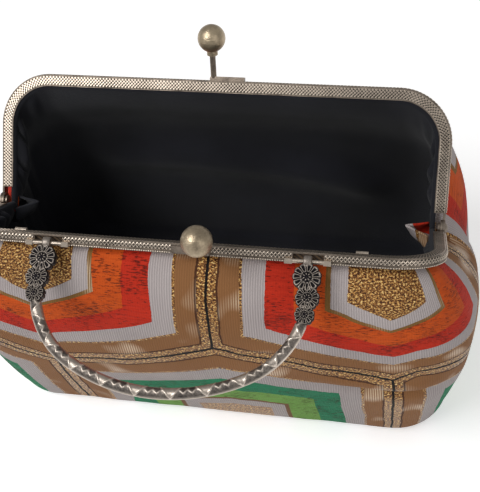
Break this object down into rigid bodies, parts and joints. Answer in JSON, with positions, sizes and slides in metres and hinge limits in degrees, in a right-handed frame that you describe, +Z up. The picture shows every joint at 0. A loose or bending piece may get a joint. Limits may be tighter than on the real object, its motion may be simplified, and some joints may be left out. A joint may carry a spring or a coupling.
{
  "type": "kimono bag",
  "caption": "Kimono handbag: brocade pouch on a hinged purse frame with a ball clasp and a cast arch handle, standing open on its base.",
  "frame": {"origin": "middle of the flat base, on the surface that the bag stands on, straight below the hinge axis", "axes": "+X along the hinge axis, to the right of someone who faces the front; +Y to the back; +Z up"},
  "size_m": [0.2392, 0.1682, 0.1596],
  "materials": {
    "frame_metal": "antiqued, embossed lattice",
    "clasp_metal": "brushed, antiqued",
    "handle_metal": "cast, dark recesses and rubbed high points",
    "front_brocade": "woven obi brocade with nested hexagons",
    "back_brocade": "woven obi brocade with nested hexagons",
    "base_brocade": "woven brocade",
    "lining_cloth": "matte black twill",
    "board": "stiff bag board",
    "cord_paper": "twisted paper cord and folded fabric edge"
  },
  "bodies": {
    "bag": {"front_panel": "front_brocade", "back_panel": "back_brocade", "base_panel": "base_brocade", "lining": "lining_cloth", "base_board": "board"},
    "back_half": {"back_frame": "frame_metal", "hinge_rivet_left": "clasp_metal", "hinge_rivet_right": "clasp_metal", "back_clasp_arm": "frame_metal", "back_clasp_ball": "clasp_metal", "back_paper_cord": "cord_paper"},
    "front_half": {"front_frame": "frame_metal", "front_clasp_arm": "frame_metal", "front_clasp_ball": "clasp_metal", "handle_staple_left": "handle_metal", "handle_staple_right": "handle_metal", "chain_lug_left": "clasp_metal", "chain_lug_right": "clasp_metal", "front_paper_cord": "cord_paper"},
    "handle": {"handle": "handle_metal"}
  },
  "joints": [
    {"name": "back_half_hinge", "type": "hinge", "parent": "bag", "child": "back_half", "pos_m": [0, 0, 0.097], "axis": [1, 0, 0], "range_deg": [0, 47.5]},
    {"name": "front_half_hinge", "type": "hinge", "parent": "bag", "child": "front_half", "pos_m": [0, 0, 0.097], "axis": [-1, 0, 0], "range_deg": [0, 47.5]},
    {"name": "handle_swing", "type": "hinge", "parent": "front_half", "child": "handle", "pos_m": [-0.003, -0.04664, 0.13498], "axis": [-1, 0, 0], "range_deg": [0, 74]}
  ]
}
